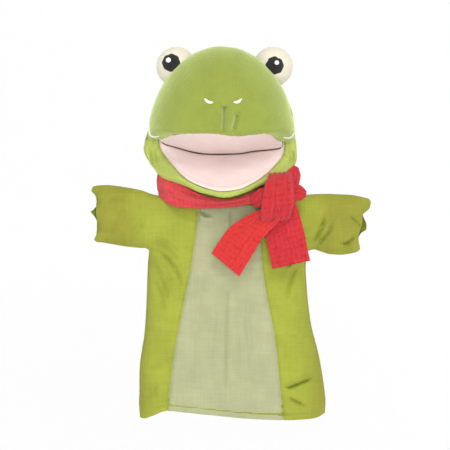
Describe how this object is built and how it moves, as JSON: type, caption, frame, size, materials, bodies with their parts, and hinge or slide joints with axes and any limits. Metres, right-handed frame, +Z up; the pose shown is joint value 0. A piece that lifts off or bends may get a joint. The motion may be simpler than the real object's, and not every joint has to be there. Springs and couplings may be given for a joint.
{
  "type": "frog hand puppet",
  "caption": "Cloth glove puppet with a padded frog head, hinged mouth, two short webbed arms and a knotted scarf.",
  "frame": {"origin": "middle of the hem at the foot of the glove, where the hand goes in, on the plane of the side seams", "axes": "+Z up from the hem to the crown; the face looks along -Y; +X is to the right of someone facing the puppet, so left and right in the names are as seen from the front"},
  "size_m": [0.2088, 0.0928, 0.2783],
  "materials": {
    "head_cloth": "matte",
    "cheek_cloth": "matte",
    "side_cloth": "matte",
    "sleeve_cloth": "matte",
    "belly_cloth": "matte",
    "pink_cloth": "matte",
    "scarf_cloth": "matte",
    "eye_cloth": "matte",
    "black_thread": "matte",
    "white_thread": "matte",
    "lining": "matte",
    "filling": "matte",
    "board": "matte"
  },
  "bodies": {
    "glove": {"belly_panel": "belly_cloth", "left_front_panel": "side_cloth", "right_front_panel": "side_cloth", "back_panel": "side_cloth", "hem_facing_front": "side_cloth", "hem_facing_back": "side_cloth"},
    "neck": {"neck_sleeve": "side_cloth", "scarf_neck_band": "scarf_cloth", "scarf_knot": "scarf_cloth", "scarf_upper_lobe": "scarf_cloth", "scarf_lower_lobe": "scarf_cloth"},
    "scarf_left_end": {"scarf_left_tail": "scarf_cloth"},
    "scarf_right_end": {"scarf_right_tail": "scarf_cloth"},
    "head": {"head_front": "head_cloth", "head_back": "cheek_cloth", "palate_pad": "pink_cloth", "upper_mouth_board": "board", "finger_pocket": "lining", "head_base": "side_cloth", "head_filling": "filling", "left_eye": "eye_cloth", "left_pupil": "black_thread", "left_glint": "white_thread", "left_nostril": "white_thread", "left_smile_stitch": "white_thread", "right_eye": "eye_cloth", "right_pupil": "black_thread", "right_glint": "white_thread", "right_nostril": "white_thread", "right_smile_stitch": "white_thread"},
    "jaw": {"chin_cover": "head_cloth", "lower_mouth_pad": "pink_cloth", "lower_mouth_board": "board", "thumb_pocket": "lining", "jaw_filling": "filling"},
    "left_arm": {"left_sleeve_front": "sleeve_cloth", "left_sleeve_back": "sleeve_cloth"},
    "left_hand": {"left_hand_front": "sleeve_cloth", "left_hand_back": "sleeve_cloth"},
    "right_arm": {"right_sleeve_front": "sleeve_cloth", "right_sleeve_back": "sleeve_cloth"},
    "right_hand": {"right_hand_front": "sleeve_cloth", "right_hand_back": "sleeve_cloth"}
  },
  "joints": [
    {"name": "neck_turn", "type": "hinge", "parent": "glove", "child": "neck", "pos_m": [0, 0, 0.1541], "axis": [0, 0, 1], "range_deg": [-12, 12]},
    {"name": "head_nod", "type": "hinge", "parent": "neck", "child": "head", "pos_m": [0, 0, 0.188], "axis": [1, 0, 0], "range_deg": [-8, 5]},
    {"name": "jaw_open", "type": "hinge", "parent": "head", "child": "jaw", "pos_m": [-0.004, -0.005, 0.1975], "axis": [1, 0, 0], "range_deg": [-44, 3]},
    {"name": "left_arm_raise", "type": "hinge", "parent": "glove", "child": "left_arm", "pos_m": [-0.058, 0, 0.146], "axis": [0, 1, 0], "range_deg": [-10, 20]},
    {"name": "right_arm_raise", "type": "hinge", "parent": "glove", "child": "right_arm", "pos_m": [0.058, 0, 0.146], "axis": [0, -1, 0], "range_deg": [-10, 20]},
    {"name": "left_hand_curl", "type": "hinge", "parent": "left_arm", "child": "left_hand", "pos_m": [-0.084, 0, 0.15], "axis": [0, 0, 1], "range_deg": [-30, 30]},
    {"name": "right_hand_curl", "type": "hinge", "parent": "right_arm", "child": "right_hand", "pos_m": [0.084, 0, 0.145], "axis": [0, 0, -1], "range_deg": [-30, 30]},
    {"name": "left_end_swing", "type": "hinge", "parent": "neck", "child": "scarf_left_end", "pos_m": [0.029, -0.03, 0.148], "axis": [-1, 0, 0], "range_deg": [0, 45]},
    {"name": "right_end_swing", "type": "hinge", "parent": "neck", "child": "scarf_right_end", "pos_m": [0.046, -0.029, 0.148], "axis": [-1, 0, 0], "range_deg": [0, 45]}
  ]
}
